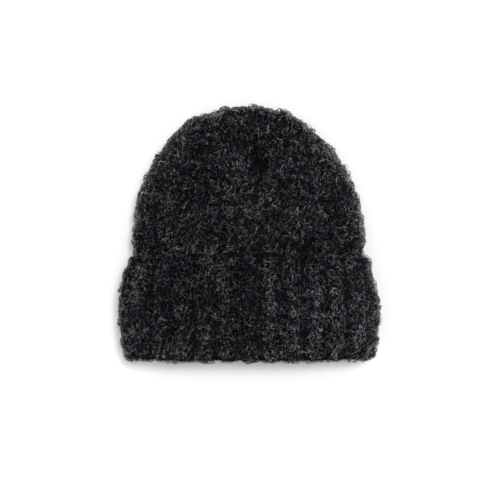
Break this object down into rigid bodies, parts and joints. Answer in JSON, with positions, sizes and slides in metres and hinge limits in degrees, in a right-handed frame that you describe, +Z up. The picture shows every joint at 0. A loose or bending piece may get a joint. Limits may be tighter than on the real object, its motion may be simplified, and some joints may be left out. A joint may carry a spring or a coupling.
{
  "type": "fluffy beanie",
  "caption": "Soft fluffy knitted beanie with a rounded crown and a deep ribbed cuff turned up over it, lying flat with its opening in front.",
  "frame": {"origin": "on the table, under the middle of the hat's box", "axes": "+Z up from the table the hat lies on, +Y towards the top of the crown, +X to the right as seen from above with the crown up; the opening for the head faces -Y"},
  "size_m": [0.2274, 0.226, 0.053],
  "materials": {
    "crown_knit": "matte charcoal boucle knit, a mass of small curls with lighter grey tips",
    "cuff_knit": "matte charcoal boucle rib, soft upright ribs under small curls with lighter grey tips"
  },
  "bodies": {
    "root": {"crown": "crown_knit", "cuff": "cuff_knit"}
  },
  "joints": []
}
